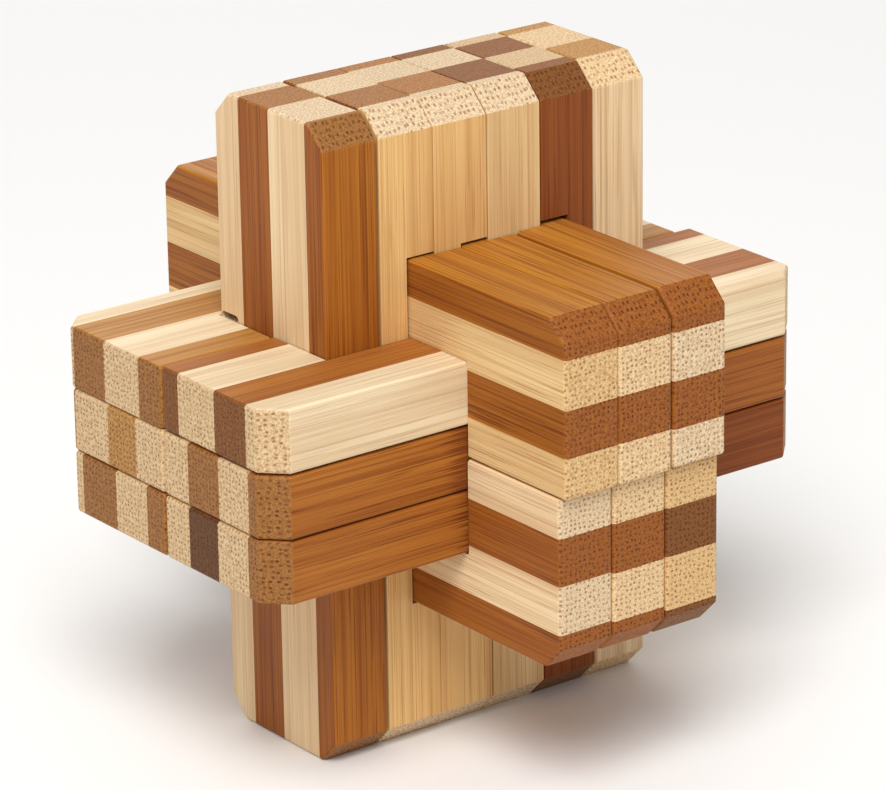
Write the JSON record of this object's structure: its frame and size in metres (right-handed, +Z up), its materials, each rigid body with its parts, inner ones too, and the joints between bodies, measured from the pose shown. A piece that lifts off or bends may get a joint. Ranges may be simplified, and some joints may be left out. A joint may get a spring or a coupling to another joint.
{
  "type": "wooden burr puzzle",
  "caption": "Interlocking bar puzzle: three bundles of flat laminated bamboo bars cross at right angles as a three-dimensional cross, locked by plain upright keys that slide out.",
  "frame": {"origin": "centre of the square that the puzzle stands in, on the surface under the lower ends of the uprights", "axes": "+Z up along the uprights, +X along the cross bars towards the right key, +Y along the through bars towards the rear"},
  "size_m": [0.07, 0.07, 0.07],
  "materials": {
    "natural_bamboo": "pale laminated bamboo, sanded, unvarnished, satin",
    "carbonised_bamboo": "steam-darkened laminated bamboo, sanded, unvarnished, satin"
  },
  "bodies": {
    "interlocked_bars": {"cross_bottom_front_dark": "carbonised_bamboo", "cross_bottom_front_pale": "natural_bamboo", "cross_bottom_rear_dark": "carbonised_bamboo", "cross_bottom_rear_pale": "natural_bamboo", "cross_middle_front_dark": "carbonised_bamboo", "cross_middle_front_pale": "natural_bamboo", "cross_middle_rear_dark": "carbonised_bamboo", "cross_middle_rear_pale": "natural_bamboo", "cross_top_front_dark": "carbonised_bamboo", "cross_top_front_pale": "natural_bamboo", "cross_top_rear_dark": "carbonised_bamboo", "cross_top_rear_pale": "natural_bamboo", "through_lower_left_dark": "carbonised_bamboo", "through_lower_left_pale": "natural_bamboo", "through_lower_middle_dark": "carbonised_bamboo", "through_lower_middle_pale": "natural_bamboo", "through_lower_right_dark": "carbonised_bamboo", "through_lower_right_pale": "natural_bamboo", "through_upper_left_dark": "carbonised_bamboo", "through_upper_left_pale": "natural_bamboo", "through_upper_middle_dark": "carbonised_bamboo", "through_upper_middle_pale": "natural_bamboo", "through_upper_right_dark": "carbonised_bamboo", "through_upper_right_pale": "natural_bamboo", "upright_2_dark": "carbonised_bamboo", "upright_2_pale": "natural_bamboo", "upright_3_dark": "carbonised_bamboo", "upright_3_pale": "natural_bamboo", "upright_5_dark": "carbonised_bamboo", "upright_5_pale": "natural_bamboo"},
    "key_left": {"key_left_dark": "carbonised_bamboo", "key_left_pale": "natural_bamboo"},
    "key_middle": {"key_middle_dark": "carbonised_bamboo", "key_middle_pale": "natural_bamboo"},
    "key_right": {"key_right_dark": "carbonised_bamboo", "key_right_pale": "natural_bamboo"}
  },
  "joints": [
    {"name": "key_left_slide", "type": "slide", "parent": "interlocked_bars", "child": "key_left", "axis": [0, 0, 1], "range_m": [0, 0.0455]},
    {"name": "key_middle_slide", "type": "slide", "parent": "interlocked_bars", "child": "key_middle", "axis": [0, 0, 1], "range_m": [0, 0.054]},
    {"name": "key_right_slide", "type": "slide", "parent": "interlocked_bars", "child": "key_right", "axis": [0, 0, 1], "range_m": [0, 0.0455]}
  ]
}
